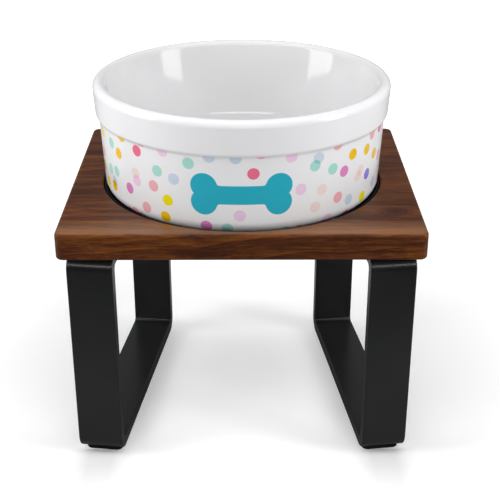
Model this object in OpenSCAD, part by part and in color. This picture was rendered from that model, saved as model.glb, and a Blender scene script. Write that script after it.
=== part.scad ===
// Raised pet feeder: a glazed bowl standing in a recessed walnut board on two bent flat-bar leg loops.
// Millimetres, +Z up. The origin is on the floor under the middle of the board, and the front faces -Y.

/* [Bowl] */
// Outside diameter at the lip
bowl_rim_d = 200; // [170:1:260]
// Height from the foot to the top of the lip
bowl_h = 80; // [68:1:110]
// Thickness of the rounded lip
lip_t = 9; // [7:0.5:11]
// Height of the thick collar, from the top of the lip to the bottom of its lower round
collar_h = 24; // [18:1:34]
// Slope of the collar's side, in degrees
collar_draft = 4; // [0:0.5:7]
// Step from the collar in to the body, on the radius
collar_step = 2; // [1:0.25:3]
// Radius of both curves of the soft step under the collar
step_round = 3.5; // [2.5:0.25:5]
// Slope of the body's side, in degrees
body_draft = 3; // [0:0.5:7]
// Radius of the body's lower edge
base_round = 10; // [7:0.5:14]
// Slope of the inside wall, in degrees
inside_draft = 14; // [0:0.5:16]
// Thickness of the floor
bowl_floor = 6; // [4:0.5:10]
// Radius between the inside wall and the floor
floor_round = 30; // [8:1:36]
// Height of the foot ring
foot_h = 3; // [2:0.5:5]
// Width of the foot ring
foot_w = 8; // [5:0.5:14]

/* [Seat ring] */
// Thickness of the flange under the foot
seat_t = 2; // [1:0.25:4]
// Thickness of the wall that lines the recess
seat_wall = 2; // [1.5:0.25:3]
// How far the flange reaches inside the foot ring
seat_reach = 4; // [2:0.5:10]
// How far the top of the wall lies below the board's top
seat_drop = 0.8; // [0.4:0.1:2]

/* [Board] */
// Wood beside the recess, left and right
side_margin = 20; // [12:1:60]
// Wood beside the recess, front and back
end_margin = 5; // [4:0.5:30]
// Thickness of the board
board_t = 18; // [16:0.5:30]
// Depth of the recess
recess_depth = 10; // [8:0.5:12]
// Radius of the long edges
edge_round = 2; // [1:0.25:2.5]
// Radius of the corners, seen from above
corner_round = 5; // [5:0.5:16]
// Chamfer of the recess's upper edge
recess_chamfer = 0.8; // [0.4:0.1:1.5]

/* [Leg loops] */
// Height from the floor to the underside of the board
leg_h = 150; // [90:1:300]
// Width of the flat bar
bar_w = 30; // [26:1:40]
// Thickness of the flat bar
bar_t = 8; // [5:0.5:10]
// Radius of the bar's long edges
bar_edge = 1; // [0.5:0.25:2]
// Inside radius of the bends
bend_r = 3; // [2:0.5:8]
// Distance from the board's front edge to a loop's front end
leg_front = 3.5; // [2:0.5:15]
// Distance from the board's back edge to a loop's rear end
leg_back = 18.5; // [6:0.5:40]
// Distance from the board's side edge to a loop's outer front corner
leg_inset = 5; // [2:0.5:15]
// How far each loop is turned in towards the back, in degrees
toe_in = 7.5; // [0:0.5:9]

/* [Foot pads] */
// Length of a pad
pad_l = 40; // [20:1:60]
// Thickness of a pad
pad_t = 3; // [1.5:0.25:5]
// Bar left bare on each side of a pad
pad_inset = 2.5; // [1:0.25:5]
// Corner radius of a pad
pad_round = 4; // [1:0.5:7]
// Distance from a loop's end to a pad, which reaches a little way under the bend
pad_setback = 7.5; // [3:0.5:20]

/* [Fasteners] */
// Diameter of the screws
screw_d = 5; // [4:0.5:6]
// Diameter of the button heads
head_d = 9.5; // [8.5:0.25:11]
// Height of the button heads
head_h = 2.75; // [2.25:0.25:3.5]
// Width across the flats of the hex sockets
socket_w = 3; // [2.5:0.25:3.5]
// Depth of the hex sockets
socket_depth = 1.6; // [1:0.1:2]
// Diameter of the washers
washer_d = 10; // [10:0.25:12]
// Thickness of the washers
washer_t = 1; // [0.6:0.1:1.6]
// Bar left bare beside a washer
washer_margin = 2; // [1:0.25:3]
// Outside diameter of the threaded inserts
insert_d = 7.5; // [7:0.25:9]
// Diameter of the inserts' flanges
flange_d = 10.5; // [10:0.25:12]
// Thickness of the inserts' flanges
flange_t = 1; // [0.8:0.1:1.5]
// Wood left above an insert's hole, below the level of the recess floor
insert_cover = 0.5; // [0.5:0.25:1.5]

/* [Clearances] */
// Between the bowl and the seat ring's wall, at the board's top
bowl_gap = 0.9; // [0.5:0.1:2]
// Between the seat ring and the recess
seat_gap = 0.3; // [0.2:0.05:0.6]
// Between a screw and the holes in the washer and the bar, on the radius
screw_gap = 0.25; // [0.15:0.05:0.5]
// Between a screw and its insert, and between an insert and its hole, on the radius
insert_gap = 0.05; // [0.03:0.01:0.1]
// Between the end of an insert or a screw and the end of its hole
end_gap = 0.5; // [0.3:0.1:1]

/* [Hidden] */
$fn = 96;
// Overlap of a cutter past the face that it cuts
past = 1;

// Directions in the bowl's section: up a side that leans out by the angle a, and square out of that side
function up(a) = [sin(a), cos(a)];
function out(a) = [cos(a), -sin(a)];
// Point at height z on the side with slope a through the point p
function on_side(p, a, z) = [p.x + (z - p.y) * tan(a), z];

// Outside of the bowl's section, from the lip down
lip_r = lip_t / 2;
lip_c = [bowl_rim_d / 2 - lip_r, bowl_h - lip_r];
lip_out = lip_c + lip_r * out(collar_draft);
collar_low = on_side(lip_out, collar_draft, bowl_h - collar_h + step_round);
collar_c = collar_low - step_round * out(collar_draft);
body_top = collar_low - [collar_step, 0];
// The cove's centre is on the body's side, moved out by its radius, two radii from the collar's lower centre
cove_line = body_top + step_round * out(body_draft);
cove_shift = cove_line - collar_c;
cove_along = cove_shift * up(body_draft);
cove_run = cove_along + sqrt(cove_along ^ 2 - cove_shift * cove_shift + 4 * step_round ^ 2);
cove_c = cove_line - cove_run * up(body_draft);
cove_top = (collar_c + cove_c) / 2;
cove_low = cove_c - step_round * out(body_draft);
base_z = foot_h + base_round;
base_side = on_side(body_top, body_draft, base_z - base_round * sin(body_draft));
base_c = [base_side.x - base_round * cos(body_draft), base_z];

// Inside of the bowl's section
floor_z = foot_h + bowl_floor;
lip_in = lip_c - lip_r * out(inside_draft);
fillet_z = floor_z + floor_round;
fillet_side = on_side(lip_in, inside_draft, fillet_z - floor_round * sin(inside_draft));
fillet_c = [fillet_side.x - floor_round * cos(inside_draft), fillet_z];

// Seat ring and recess, from the bowl's radius where it passes the board's top
bowl_sink = recess_depth - seat_t;
bowl_waist = bowl_sink < base_side.y ? base_c.x + sqrt(base_round ^ 2 - (base_c.y - bowl_sink) ^ 2)
                                     : on_side(body_top, body_draft, bowl_sink).x;
seat_in = bowl_waist + bowl_gap;
seat_out = seat_in + seat_wall;
// A cutter's size in tenths
recess_r = ceil(10 * (seat_out + seat_gap)) / 10;

// Board
board_w = 2 * (recess_r + side_margin);
board_d = 2 * (recess_r + end_margin);
recess_z = leg_h + board_t - recess_depth;
bowl_z = recess_z + seat_t;

// Leg loops, each drawn along its own run and then turned and moved out
loop_d = board_d - leg_front - leg_back;
loop_h = leg_h - pad_t;
bend_out = bend_r + bar_t;
leg_x = board_w / 2 - leg_inset - loop_d / 2 * sin(toe_in) - bar_w / 2 * cos(toe_in);
leg_y = (leg_front - leg_back) / 2;
pad_y = loop_d / 2 - pad_setback - pad_l / 2;

// Fasteners, placed on a loop's upper bar
screw_x = bar_w / 2 - washer_margin - washer_d / 2;
screw_y = loop_d / 2 - bend_out - washer_margin - washer_d / 2;
bar_hole_d = screw_d + 2 * screw_gap;
insert_hole = board_t - recess_depth - insert_cover;
insert_l = insert_hole - end_gap;
screw_l = washer_t + bar_t + insert_l - end_gap;
washer_z = leg_h - bar_t - washer_t;
dome_r = (head_h ^ 2 + (head_d / 2) ^ 2) / (2 * head_h);

left = -1;
right = 1;
front = -1;
rear = 1;

// Rectangle with true round corners, centred
module rounded_rect(w, h, r) {
    square([w - 2 * r, h], center = true);
    square([w, h - 2 * r], center = true);
    for (x = [-1, 1], y = [-1, 1])
        translate([x * (w / 2 - r), y * (h / 2 - r)]) circle(r);
}

// Sets children out on one leg's own axes
module on_leg(side) {
    translate([side * leg_x, leg_y, 0]) rotate([0, 0, side * toe_in]) children();
}

// Repeats children at the four screw places of one leg
module at_screws(side) {
    on_leg(side)
        for (x = [-1, 1], y = [-1, 1])
            translate([x * screw_x, y * screw_y, 0]) children();
}

// Section of the board's rim, from the line of the corners' centres out to the edge
module rim_section() {
    translate([0, -board_t / 2]) square([corner_round - edge_round, board_t]);
    translate([0, -board_t / 2 + edge_round]) square([corner_round, board_t - 2 * edge_round]);
    for (z = [-1, 1])
        translate([corner_round - edge_round, z * (board_t / 2 - edge_round)]) circle(edge_round);
}

// One end of the board, from the line of its corners' centres: a straight rim between two turned corners
module board_end() {
    flat_d = board_d - 2 * corner_round;
    translate([0, flat_d / 2, 0]) rotate([90, 0, 0]) linear_extrude(flat_d) rim_section();
    translate([0, flat_d / 2, 0]) rotate_extrude(angle = 90) rim_section();
    translate([0, -flat_d / 2, 0]) rotate([0, 0, -90]) rotate_extrude(angle = 90) rim_section();
}

// Board with every edge rounded: a bar of the board's section with an end set on each of its end faces
module board_blank() {
    flat_w = board_w - 2 * corner_round;
    translate([-flat_w / 2, 0, 0]) rotate([90, 0, 90])
        linear_extrude(flat_w) rounded_rect(board_d, board_t, edge_round);
    for (turn = [0, 180])
        rotate([0, 0, turn]) translate([flat_w / 2, 0, 0]) board_end();
}

// Round recess with a chamfered upper edge, from its floor up
module recess() {
    cylinder(r = recess_r, h = recess_depth + past);
    translate([0, 0, recess_depth - recess_chamfer])
        cylinder(r1 = recess_r, r2 = recess_r + recess_chamfer + past, h = recess_chamfer + past);
}

module top_board() {
    color("#4d2b1d")
        difference() {
            translate([0, 0, leg_h + board_t / 2]) board_blank();
            translate([0, 0, recess_z]) recess();
            for (side = [left, right])
                at_screws(side) translate([0, 0, leg_h]) {
                    translate([0, 0, -past]) cylinder(d = insert_d + 2 * insert_gap, h = insert_hole + past);
                    translate([0, 0, -past]) cylinder(d = flange_d + 2 * insert_gap, h = flange_t + past);
                }
        }
}

// L-section ring: a flange under the bowl's foot and a round-topped wall that lines the recess
module seat_ring() {
    flange_in = base_c.x - foot_w - seat_reach;
    wall_h = recess_depth - seat_drop - seat_wall / 2;
    color("#151515")
        translate([0, 0, recess_z])
            rotate_extrude() {
                translate([flange_in, 0]) square([seat_out - flange_in, seat_t]);
                translate([seat_in, 0]) square([seat_wall, wall_h]);
                translate([seat_in + seat_wall / 2, wall_h]) circle(seat_wall / 2);
            }
}

// Hollow of the bowl, with a round between its wall and its floor that stops at the axis
module bowl_hollow() {
    polygon([[0, floor_z], [fillet_c.x, floor_z], fillet_c, fillet_side, lip_in, [0, lip_in.y]]);
    intersection() {
        translate(fillet_c) circle(floor_round);
        square([bowl_rim_d, bowl_h]);
    }
}

// Half section of the bowl: lip, collar, soft step, tapered body, rounded base and foot ring
module bowl_section() {
    difference() {
        union() {
            polygon([
                [0, foot_h], [base_c.x, foot_h], base_c, base_side, cove_low, cove_top, collar_c, collar_low, lip_out,
                lip_c, lip_in, [0, lip_in.y]
            ]);
            translate(lip_c) circle(lip_r);
            translate(collar_c) circle(step_round);
            translate(base_c) circle(base_round);
            translate([base_c.x - foot_w, 0]) square([foot_w, foot_h + bowl_floor / 2]);
        }
        translate(cove_c) circle(step_round);
        bowl_hollow();
    }
}

module bowl() {
    color("#f4f3f0")
        translate([0, 0, bowl_z]) rotate_extrude() bowl_section();
}

// Section of the flat bar, thickness along X and width along Y
module bar_section() {
    rounded_rect(bar_t, bar_w, bar_edge);
}

// One run of flat bar along X, its inner face towards +Y, from the loop's outside
module bar_run(length) {
    translate([-length / 2, bar_t / 2, 0]) rotate([90, 0, 90]) linear_extrude(length) bar_section();
}

// Quarter bend of flat bar about the origin, from the given angle on
module bend(start) {
    rotate([0, 0, start]) rotate_extrude(angle = 90) translate([bend_r + bar_t / 2, 0]) bar_section();
}

// Lower run of bar, one upright and the bend after each, half of a loop
module half_loop() {
    run = loop_d - 2 * bend_out;
    rise = loop_h - 2 * bend_out;
    translate([0, -loop_h / 2, 0]) bar_run(run);
    translate([run / 2, -rise / 2, 0]) bend(-90);
    translate([loop_d / 2, 0, 0]) rotate([0, 0, 90]) bar_run(rise);
    translate([run / 2, rise / 2, 0]) bend(0);
}

// Closed loop of bent bar in its own plane, centred, before it is turned upright
module flat_loop() {
    half_loop();
    rotate([0, 0, 180]) half_loop();
}

module leg_loop(side) {
    color("#202122")
        difference() {
            on_leg(side) translate([0, 0, pad_t + loop_h / 2]) rotate([90, 0, 90]) flat_loop();
            at_screws(side) translate([0, 0, leg_h - bar_t - past]) cylinder(d = bar_hole_d, h = bar_t + 2 * past);
        }
}

// Button-head socket screw, its head hanging below z = 0 and its shank above
module screw() {
    difference() {
        union() {
            intersection() {
                translate([0, 0, dome_r - head_h]) sphere(dome_r);
                translate([0, 0, -head_h]) cylinder(d = 2 * head_d, h = head_h);
            }
            cylinder(d = screw_d, h = screw_l);
        }
        translate([0, 0, -head_h - past])
            cylinder(d = socket_w / cos(30), h = socket_depth + past, $fn = 6);
    }
}

module leg_screws(side) {
    color("#1a1a1b") at_screws(side) translate([0, 0, washer_z]) screw();
}

module leg_washers(side) {
    color("#2b2b2c")
        at_screws(side) translate([0, 0, washer_z])
            difference() {
                cylinder(d = washer_d, h = washer_t);
                translate([0, 0, -past]) cylinder(d = bar_hole_d, h = washer_t + 2 * past);
            }
}

module leg_inserts(side) {
    color("#b5923f")
        at_screws(side) translate([0, 0, leg_h])
            difference() {
                union() {
                    cylinder(d = insert_d, h = insert_l);
                    cylinder(d = flange_d, h = flange_t);
                }
                translate([0, 0, -past]) cylinder(d = screw_d + 2 * insert_gap, h = insert_l + 2 * past);
            }
}

module foot_pad(side, end) {
    color("#0f0f0f")
        on_leg(side) translate([0, end * pad_y, 0])
            linear_extrude(pad_t) rounded_rect(bar_w - 2 * pad_inset, pad_l, pad_round);
}

top_board();
seat_ring();
bowl();
leg_loop(left);  // left_leg_loop
leg_loop(right);  // right_leg_loop
leg_screws(left);  // left_leg_screws
leg_screws(right);  // right_leg_screws
leg_washers(left);  // left_leg_washers
leg_washers(right);  // right_leg_washers
leg_inserts(left);  // left_leg_inserts
leg_inserts(right);  // right_leg_inserts
foot_pad(left, front);  // front_left_foot_pad
foot_pad(right, front);  // front_right_foot_pad
foot_pad(left, rear);  // rear_left_foot_pad
foot_pad(right, rear);  // rear_right_foot_pad
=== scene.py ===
"""Looks of a raised pet feeder: a printed, glazed bowl standing in a walnut board on two bent flat-bar legs.

Metres, +Z up, front towards -Y, in the frame of the packed part. Sizes are written in millimetres.
"""

import math

import bmesh
import bpy
from bpy.props import FloatProperty, FloatVectorProperty, PointerProperty
from mathutils import Euler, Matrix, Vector


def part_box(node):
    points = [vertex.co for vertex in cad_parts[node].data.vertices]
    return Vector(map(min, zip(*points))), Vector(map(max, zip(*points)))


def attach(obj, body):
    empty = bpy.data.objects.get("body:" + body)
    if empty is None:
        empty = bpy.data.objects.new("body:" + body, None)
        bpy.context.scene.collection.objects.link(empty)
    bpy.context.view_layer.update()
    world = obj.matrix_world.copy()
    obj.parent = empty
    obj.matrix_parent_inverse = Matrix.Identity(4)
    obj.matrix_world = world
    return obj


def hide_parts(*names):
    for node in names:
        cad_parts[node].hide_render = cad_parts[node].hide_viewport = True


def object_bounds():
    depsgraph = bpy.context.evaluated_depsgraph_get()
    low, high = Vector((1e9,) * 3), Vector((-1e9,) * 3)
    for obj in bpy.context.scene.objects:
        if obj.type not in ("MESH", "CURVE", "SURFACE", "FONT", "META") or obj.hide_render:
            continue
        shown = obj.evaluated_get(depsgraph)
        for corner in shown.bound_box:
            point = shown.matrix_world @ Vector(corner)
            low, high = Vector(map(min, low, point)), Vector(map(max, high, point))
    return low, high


bl_info = {
    "name": "Raised Pet Feeder",
    "version": (1, 0, 0),
    "blender": (4, 5, 0),
    "location": "View3D > Sidebar > Feeder",
    "description": "Dresses a raised pet feeder: bowl, seat, board, legs, fasteners, foot pads and stage",
    "category": "Add Mesh",
}

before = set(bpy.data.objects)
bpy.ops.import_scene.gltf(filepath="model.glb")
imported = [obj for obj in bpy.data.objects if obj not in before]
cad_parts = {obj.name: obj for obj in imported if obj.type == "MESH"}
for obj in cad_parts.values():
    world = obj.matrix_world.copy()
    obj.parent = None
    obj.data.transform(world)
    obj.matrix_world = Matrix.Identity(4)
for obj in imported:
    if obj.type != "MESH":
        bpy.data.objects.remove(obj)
CAD_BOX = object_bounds()
MM = 0.001

# Which way each side lies along X, and the two ends of a leg
SIDES = {"left": -1, "right": 1}
ENDS = ("front", "rear")

BOWL_LOW, BOWL_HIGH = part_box("bowl")
SEAT_LOW, SEAT_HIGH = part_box("seat_ring")
BOARD_LOW, BOARD_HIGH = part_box("top_board")
LOOP_LOW, LOOP_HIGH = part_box("right_leg_loop")
WASHER_LOW, WASHER_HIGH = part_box("right_leg_washers")
SCREW_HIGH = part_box("right_leg_screws")[1]

QUARTER = math.pi / 2
# Facets of an arc in a turned section, and round a turned piece
ARC_STEP = math.radians(7.5)
AROUND_BOWL = 192
AROUND_SCREW = 48
# Facets of a bar's edge, a bar's bend, a pad's corner and a pad's rim
EDGE_STEPS = 6
BEND_STEPS = 12
CORNER_STEPS = 8
RIM_STEPS = 3
# Edges that meet at more than this stay sharp
SHARP_ANGLE = math.radians(40)
# Points closer than this are one point
WELD = 0.01 * MM


def linear(code):
    """Linear red, green and blue of an sRGB hex colour such as #ff8800."""
    parts = [int(code[i:i + 2], 16) / 255 for i in (1, 3, 5)]
    return tuple(c / 12.92 if c <= 0.04045 else ((c + 0.055) / 1.055) ** 2.4 for c in parts)


def rgba(tint):
    """A colour with full opacity, as colour sockets take it."""
    return (*tint, 1.0)


def toned(tint, share):
    """A colour made lighter or darker by a share of itself."""
    return tuple(share * c for c in tint)


def grey(level):
    """Grey that gives back a level of the light, from 0 to 1."""
    return (level, level, level)


WHITE = rgba(grey(1.0))


def length(name, description, mm):
    """A size that the user can change, with its default in millimetres."""
    return FloatProperty(name=name, description=description, default=mm * MM, min=0.0, precision=5,
                         unit="LENGTH", subtype="DISTANCE")


def slope(name, description, degrees):
    """An angle that the user can change, with its default in degrees."""
    return FloatProperty(name=name, description=description, default=math.radians(degrees), unit="ROTATION",
                         subtype="ANGLE")


def colour(name, description, code):
    """A colour that the user can change, with its default as an sRGB hex value."""
    return FloatVectorProperty(name=name, description=description, default=linear(code), min=0.0, max=1.0,
                               size=3, subtype="COLOR")


class FeederBowl(bpy.types.PropertyGroup):
    """Section and glaze of the bowl"""

    rim_d: length("Rim diameter", "Outside diameter at the lip", (BOWL_HIGH.x - BOWL_LOW.x) / MM)
    height: length("Height", "From the foot to the top of the lip", (BOWL_HIGH.z - BOWL_LOW.z) / MM)
    lip_t: length("Lip", "Thickness of the rounded lip", 9)
    collar_h: length("Collar", "Height of the thick collar, from the top of the lip to its lower round", 24)
    collar_draft: slope("Collar slope", "Slope of the collar's side", 4)
    collar_step: length("Collar step", "Step from the collar in to the body, on the radius", 2)
    step_round: length("Step round", "Radius of both curves of the soft step under the collar", 3.5)
    body_draft: slope("Body slope", "Slope of the body's side", 3)
    base_round: length("Base round", "Radius of the body's lower edge", 10)
    inside_draft: slope("Inside slope", "Slope of the inside wall", 14)
    floor_t: length("Floor", "Thickness of the floor", 6)
    floor_round: length("Floor round", "Radius between the inside wall and the floor", 30)
    foot_h: length("Foot height", "Height of the foot ring", 3)
    foot_w: length("Foot width", "Width of the foot ring", 8)
    foot_round: length("Foot edge", "Radius of the foot ring's sponged edges", 0.8)
    glaze: colour("Glaze", "Colour of the glaze", "#eeeef0")
    # Painted shade: a greyer glaze colour laid inside the bowl and round its lower base
    pool: colour("Pooled glaze", "Colour of the glaze where it is thick", "#dfdfe0")
    bisque: colour("Bare foot", "Colour of the unglazed clay under the foot", "#e6dfd2")


class FeederPrint(bpy.types.PropertyGroup):
    """Band of dots and the plain motif printed on the bowl's body"""

    dot_d: length("Dot", "Diameter of a dot", 7.6)
    spacing: length("Dot spacing", "Mean spacing of the main layer of dots", 15)
    tilt: slope("Dot tilt", "How far the rows of the main layer are turned", 23)
    over_spacing: length("Overprint spacing", "Mean spacing of the second layer, over the first", 36)
    over_tilt: slope("Overprint tilt", "How far the rows of the second layer are turned", -31)
    low: length("Band from", "Height of the band's lower edge above the foot", 5)
    high: length("Band to", "Height of the band's upper edge above the foot", 57)
    soft: length("Ink edge", "Half the width over which an ink's edge fades", 0.15)
    motif_z: length("Motif height", "Height of the motif's middle above the foot", 31.5)
    motif_l: length("Motif length", "Overall length of the bone motif", 64)
    motif_h: length("Motif width", "Overall width of the bone motif", 28)
    knob_d: length("Motif knob", "Diameter of each of the bone's four knobs", 17)
    shaft_t: length("Motif shaft", "Thickness of the bone's shaft", 12.5)
    motif_margin: length("Motif margin", "Clear space between the motif and the nearest dot", 2)
    motif: colour("Motif", "Colour of the motif", "#2fbad1")
    mustard: colour("Mustard", "Dot colour", "#ffcd0a")
    mint: colour("Mint", "Dot colour", "#b4ecde")
    coral: colour("Coral", "Dot colour", "#ff7a9a")
    blush: colour("Blush", "Dot colour", "#ffece5")
    sky: colour("Sky", "Dot colour", "#d9e6f5")
    orchid: colour("Orchid", "Dot colour", "#ee8fcf")
    salmon: colour("Salmon", "Dot colour", "#ffbcc1")
    lemon: colour("Lemon", "Dot colour", "#fff013")
    lilac: colour("Lilac", "Dot colour", "#ffdcf6")
    violet: colour("Violet", "Dot colour", "#9285e8")


class FeederSeat(bpy.types.PropertyGroup):
    """Rubber ring that lines the recess"""

    outside_d: length("Outside", "Outside diameter", (SEAT_HIGH.x - SEAT_LOW.x) / MM)
    height: length("Height", "From the recess floor to the top of the wall", (SEAT_HIGH.z - SEAT_LOW.z) / MM)
    wall: length("Wall", "Thickness of the wall", 2)
    flange_t: length("Flange", "Thickness of the flange under the bowl's foot", 2)
    flange_w: length("Flange width", "Width of the flange, from the wall's outside in", 23.55)
    rubber: colour("Rubber", "Colour of the ring", "#080808")


class FeederBoard(bpy.types.PropertyGroup):
    """Walnut of the board"""

    ring_w: length("Growth ring", "Width of a growth ring", 3.4)
    dark: colour("Latewood", "Darkest colour of the grain", "#1a0a03")
    middle: colour("Heartwood", "Main colour of the grain", "#50260a")
    light: colour("Earlywood", "Lightest colour of the grain", "#7f4713")
    # Painted highlight, partly the sanded wood: a paler colour for the rounded upper edges
    edge: colour("Edge", "Colour of the sanded outer edges", "#ab6022")
    # Painted sheen: a pale, greyish colour laid along the front of the top
    dry: colour("Dry wood", "Colour of the dry wood where hands wear the oil away", "#a1866c")


class FeederLegs(bpy.types.PropertyGroup):
    """Bent flat bar of the two leg loops"""

    bar_w: length("Bar width", "Width of the flat bar", 30)
    bar_t: length("Bar thickness", "Thickness of the flat bar", 8)
    bar_edge: length("Bar edge", "Radius of the bar's long edges", 1)
    bend_r: length("Bend", "Inside radius of the bends", 3)
    toe_in: slope("Toe-in", "How far each loop is turned in towards the back", 7.5)
    coat: colour("Powder coat", "Colour of the powder coat", "#161718")


class FeederFasteners(bpy.types.PropertyGroup):
    """Screws, washers and inserts under the board"""

    across: length("Spacing across", "Between two screws across the bar", 16)
    along: length("Spacing along", "Between the front and rear screws of a loop", 144.8)
    screw_d: length("Screw", "Diameter of the shank", 5)
    head_d: length("Head", "Diameter of the button head", 9.5)
    head_h: length("Head height", "Height of the button head", 2.75)
    socket_w: length("Socket", "Width across the flats of the hex socket", 3)
    socket_depth: length("Socket depth", "Depth of the hex socket", 1.6)
    washer_d: length("Washer", "Outside diameter of a washer", 10)
    hole_d: length("Hole", "Diameter of the holes in the washers and the bar", 5.5)
    easing: length("Edge", "Size of the small chamfers on screw ends and washers", 0.2)
    zinc: colour("Black zinc", "Colour of the screws and washers", "#2b2c2e")
    brass: colour("Brass", "Colour of the threaded inserts", "#b5923f")


class FeederPads(bpy.types.PropertyGroup):
    """Rubber pads under the loops"""

    pad_w: length("Width", "Width of a pad, across the bar", 25)
    pad_l: length("Length", "Length of a pad, along the bar", 40)
    corner: length("Corner", "Radius of a pad's corners", 4)
    rim: length("Rim", "Radius of a pad's upper and lower rim", 0.4)
    rubber: colour("Rubber", "Colour of the pads", "#121212")


class FeederStage(bpy.types.PropertyGroup):
    """Floor, light and camera"""

    floor: colour("Floor", "Colour of the paper sweep", "#f2f2f2")
    lens: FloatProperty(name="Lens", description="Focal length of the camera in millimetres", default=78.05)
    pitch: slope("Pitch", "How far the camera looks down", 25.23)
    yaw: slope("Yaw", "How far the camera looks to the right of straight ahead", 0.21)
    back: length("Distance", "How far the camera stands in front of the object's middle", 709.9)
    height: length("Height", "Height of the camera above the floor", 444.3)
    beside: length("Offset", "How far the camera stands to the right of the object's middle", 3)


GROUPS = {
    "feeder_bowl": FeederBowl, "feeder_print": FeederPrint, "feeder_seat": FeederSeat,
    "feeder_board": FeederBoard, "feeder_legs": FeederLegs, "feeder_fasteners": FeederFasteners,
    "feeder_pads": FeederPads, "feeder_stage": FeederStage,
}
# Inks of the main layer, the common ones more than once, and the pale inks of the layer that overlaps it
INKS = ("mustard", "mint", "coral", "violet", "sky", "orchid", "salmon", "lemon", "lilac", "blush", "mint",
        "salmon", "mustard", "coral", "mint")
PALE_INKS = ("blush", "lilac", "sky", "blush", "salmon")


# Nodes

def plug(tree, node, links):
    """Links or sets a node's inputs; a node given as a value gives its first output in use."""
    for key, value in links.items():
        if isinstance(value, bpy.types.Node):
            value = next(socket for socket in value.outputs if socket.enabled)
        if isinstance(value, bpy.types.NodeSocket):
            tree.links.new(value, node.inputs[key])
        else:
            node.inputs[key].default_value = value


def add(tree, kind, links=None, stops=(), **settings):
    """Adds a node with its settings, its links and, on a ramp, its stops as positions and linear colours."""
    made = tree.nodes.new(kind)
    for key, value in settings.items():
        setattr(made, key, value)
    for _ in stops[2:]:
        made.color_ramp.elements.new(1.0)
    for i, (position, tint) in enumerate(stops):
        made.color_ramp.elements[i].position = position
        made.color_ramp.elements[i].color = rgba(tint)
    plug(tree, made, links or {})
    return made


# Geometry node trees

def new_tree(name, sockets):
    """Starts a geometry node tree with the named inputs, and returns it with those inputs."""
    tree = bpy.data.node_groups.new(name, "GeometryNodeTree")
    for label, kind in sockets.items():
        tree.interface.new_socket(label, in_out="INPUT", socket_type="NodeSocket" + kind)
    tree.interface.new_socket("Geometry", in_out="OUTPUT", socket_type="NodeSocketGeometry")
    return tree, add(tree, "NodeGroupInput").outputs


def close_tree(tree, get, geometry):
    """Ends a tree in Realize Instances and Set Material."""
    real = add(tree, "GeometryNodeRealizeInstances", {"Geometry": geometry})
    dressed = add(tree, "GeometryNodeSetMaterial", {"Geometry": real, "Material": get["Material"]})
    add(tree, "NodeGroupOutput", {"Geometry": dressed})
    return tree


def close_at_leg(tree, get, geometry):
    """Turns a piece by its leg's toe-in, stands it in its place and ends the tree."""
    turn = add(tree, "ShaderNodeCombineXYZ", {"Z": get["Toe-in"]})
    placed = add(tree, "GeometryNodeTransform",
                 {"Geometry": geometry, "Translation": get["Place"], "Rotation": turn})
    return close_tree(tree, get, placed)


def at_holes(tree, get, piece):
    """Sets a piece at each of the four holes of a loop's upper bar."""
    holes = add(tree, "GeometryNodeMeshGrid", {
        "Size X": get["Spacing across"], "Size Y": get["Spacing along"], "Vertices X": 2, "Vertices Y": 2})
    return add(tree, "GeometryNodeInstanceOnPoints", {"Points": holes, "Instance": piece})


def turned_tree():
    """Turns a section about Z: a grid takes a row of points from each point of the section and is welded."""
    tree, get = new_tree("Turned piece", {
        "Section": "Geometry", "Steps around": "Int", "Material": "Material"})
    count = add(tree, "GeometryNodeAttributeDomainSize", {"Geometry": get["Section"]})
    row = add(tree, "FunctionNodeIntegerMath", {0: get["Steps around"], 1: 1}, operation="ADD")
    grid = add(tree, "GeometryNodeMeshGrid", {"Vertices X": count, "Vertices Y": row})
    index = add(tree, "GeometryNodeInputIndex")
    along = add(tree, "FunctionNodeIntegerMath", {0: index, 1: row}, operation="DIVIDE")
    around = add(tree, "FunctionNodeIntegerMath", {0: index, 1: row}, operation="MODULO")
    step = add(tree, "ShaderNodeMath", {0: math.tau, 1: get["Steps around"]}, operation="DIVIDE")
    turn = add(tree, "ShaderNodeMath", {0: around, 1: step}, operation="MULTIPLY")
    point = add(tree, "GeometryNodeInputPosition")
    start = add(tree, "GeometryNodeSampleIndex", {"Geometry": get["Section"], "Value": point, "Index": along},
                data_type="FLOAT_VECTOR")
    place = add(tree, "ShaderNodeVectorRotate", {"Vector": start, "Angle": turn}, rotation_type="Z_AXIS")
    moved = add(tree, "GeometryNodeSetPosition", {"Geometry": grid, "Position": place})
    welded = add(tree, "GeometryNodeMergeByDistance", {"Geometry": moved, "Distance": WELD})
    return close_tree(tree, get, welded)


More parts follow.
